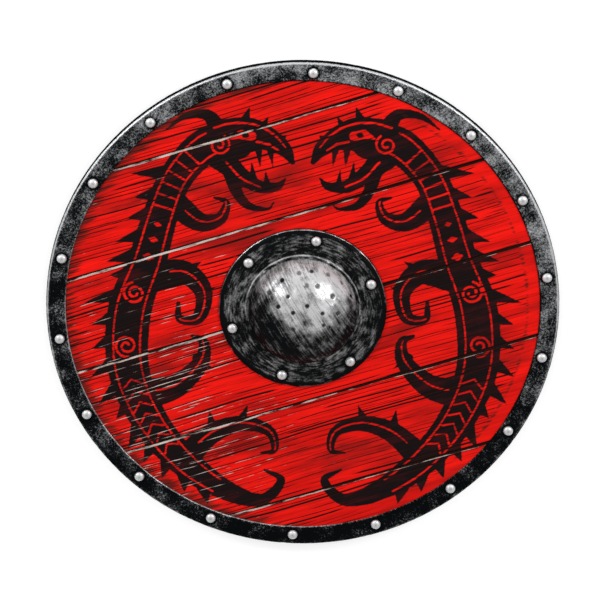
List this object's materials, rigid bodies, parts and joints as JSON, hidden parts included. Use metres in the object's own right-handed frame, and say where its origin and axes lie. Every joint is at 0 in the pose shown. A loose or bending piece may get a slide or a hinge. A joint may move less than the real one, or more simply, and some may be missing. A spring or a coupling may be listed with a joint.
{
  "type": "round wooden shield",
  "caption": "Round wooden shield of edge-joined planks with a riveted iron rim, a domed iron boss on the face and a wooden grip bar across the back.",
  "frame": {"origin": "on the surface the shield lies on, under the centre of the boss", "axes": "+Z the way the front of the shield faces, +X along the planks, +Y across them along the grip bar"},
  "size_m": [0.61, 0.61, 0.0737],
  "materials": {
    "red_face": "red and black brushed paint over bare plank wood",
    "grip_wood": "oiled bare wood",
    "rim_iron": "blackened iron, worn bright in patches",
    "boss_iron": "dark brushed steel, hammered",
    "rivet_steel": "bright satin steel"
  },
  "bodies": {
    "root": {"plank_1": "red_face", "plank_2": "red_face", "plank_3": "red_face", "plank_4": "red_face", "plank_5": "red_face", "plank_6": "red_face", "rim": "rim_iron", "boss": "boss_iron", "rim_rivet_1": "rivet_steel", "rim_rivet_2": "rivet_steel", "rim_rivet_3": "rivet_steel", "rim_rivet_4": "rivet_steel", "rim_rivet_5": "rivet_steel", "rim_rivet_6": "rivet_steel", "rim_rivet_7": "rivet_steel", "rim_rivet_8": "rivet_steel", "rim_rivet_9": "rivet_steel", "rim_rivet_10": "rivet_steel", "rim_rivet_11": "rivet_steel", "rim_rivet_12": "rivet_steel", "rim_rivet_13": "rivet_steel", "rim_rivet_14": "rivet_steel", "rim_rivet_15": "rivet_steel", "rim_rivet_16": "rivet_steel", "rim_rivet_17": "rivet_steel", "rim_rivet_18": "rivet_steel", "boss_rivet_1": "rivet_steel", "boss_rivet_2": "rivet_steel", "boss_rivet_3": "rivet_steel", "boss_rivet_4": "rivet_steel", "boss_rivet_5": "rivet_steel", "boss_rivet_6": "rivet_steel", "grip": "grip_wood", "grip_screw_1": "rivet_steel", "grip_screw_2": "rivet_steel", "grip_screw_3": "rivet_steel", "grip_screw_4": "rivet_steel", "grip_screw_5": "rivet_steel", "grip_screw_6": "rivet_steel"}
  },
  "joints": []
}
